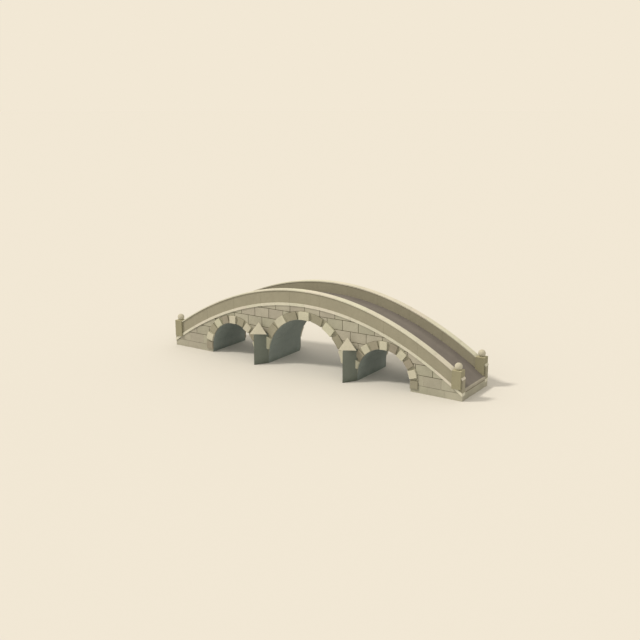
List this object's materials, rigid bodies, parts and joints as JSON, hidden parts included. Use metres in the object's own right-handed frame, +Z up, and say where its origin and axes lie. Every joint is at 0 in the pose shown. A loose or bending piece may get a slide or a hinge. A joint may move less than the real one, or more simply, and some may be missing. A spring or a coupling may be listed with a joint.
{
  "type": "stone arch bridge",
  "caption": "Humpback masonry bridge with round arches, cutwaters on its piers, a string course and solid parapets that end in posts with ball finials.",
  "frame": {"origin": "under the crown on the centre line, at the water surface where the piers and abutments end", "axes": "+X along the roadway, +Y across it towards the back face, +Z up"},
  "size_m": [23.3, 5.6924, 5.511],
  "materials": {
    "light_stone": "dressed, cream limestone",
    "tan_stone": "smooth, warm tan",
    "paving": "worn, grey brown",
    "ashlar": "coursed blocks",
    "rubble": "rough hearting",
    "shaded_stone": "coursed blocks"
  },
  "bodies": {
    "root": {"abutment_left": "shaded_stone", "abutment_right": "shaded_stone", "pier_left": "shaded_stone", "pier_right": "shaded_stone", "barrel_left": "shaded_stone", "barrel_centre": "shaded_stone", "barrel_right": "shaded_stone", "fill": "rubble", "ring_left_front": "light_stone", "ring_centre_front": "light_stone", "ring_right_front": "light_stone", "ring_left_back": "light_stone", "ring_centre_back": "light_stone", "ring_right_back": "light_stone", "spandrel_front": "ashlar", "spandrel_back": "ashlar", "string_front": "light_stone", "string_back": "light_stone", "parapet_front": "tan_stone", "parapet_back": "tan_stone", "coping_front": "light_stone", "coping_back": "light_stone", "road": "paving", "sill_left": "ashlar", "sill_right": "ashlar", "post_front_left": "tan_stone", "post_front_right": "tan_stone", "post_back_left": "tan_stone", "post_back_right": "tan_stone", "ball_front_left": "light_stone", "ball_front_right": "light_stone", "ball_back_left": "light_stone", "ball_back_right": "light_stone", "cutwater_front_left": "shaded_stone", "cutwater_front_right": "shaded_stone", "cutwater_back_left": "shaded_stone", "cutwater_back_right": "shaded_stone", "cap_front_left": "light_stone", "cap_front_right": "light_stone", "cap_back_left": "light_stone", "cap_back_right": "light_stone"}
  },
  "joints": []
}
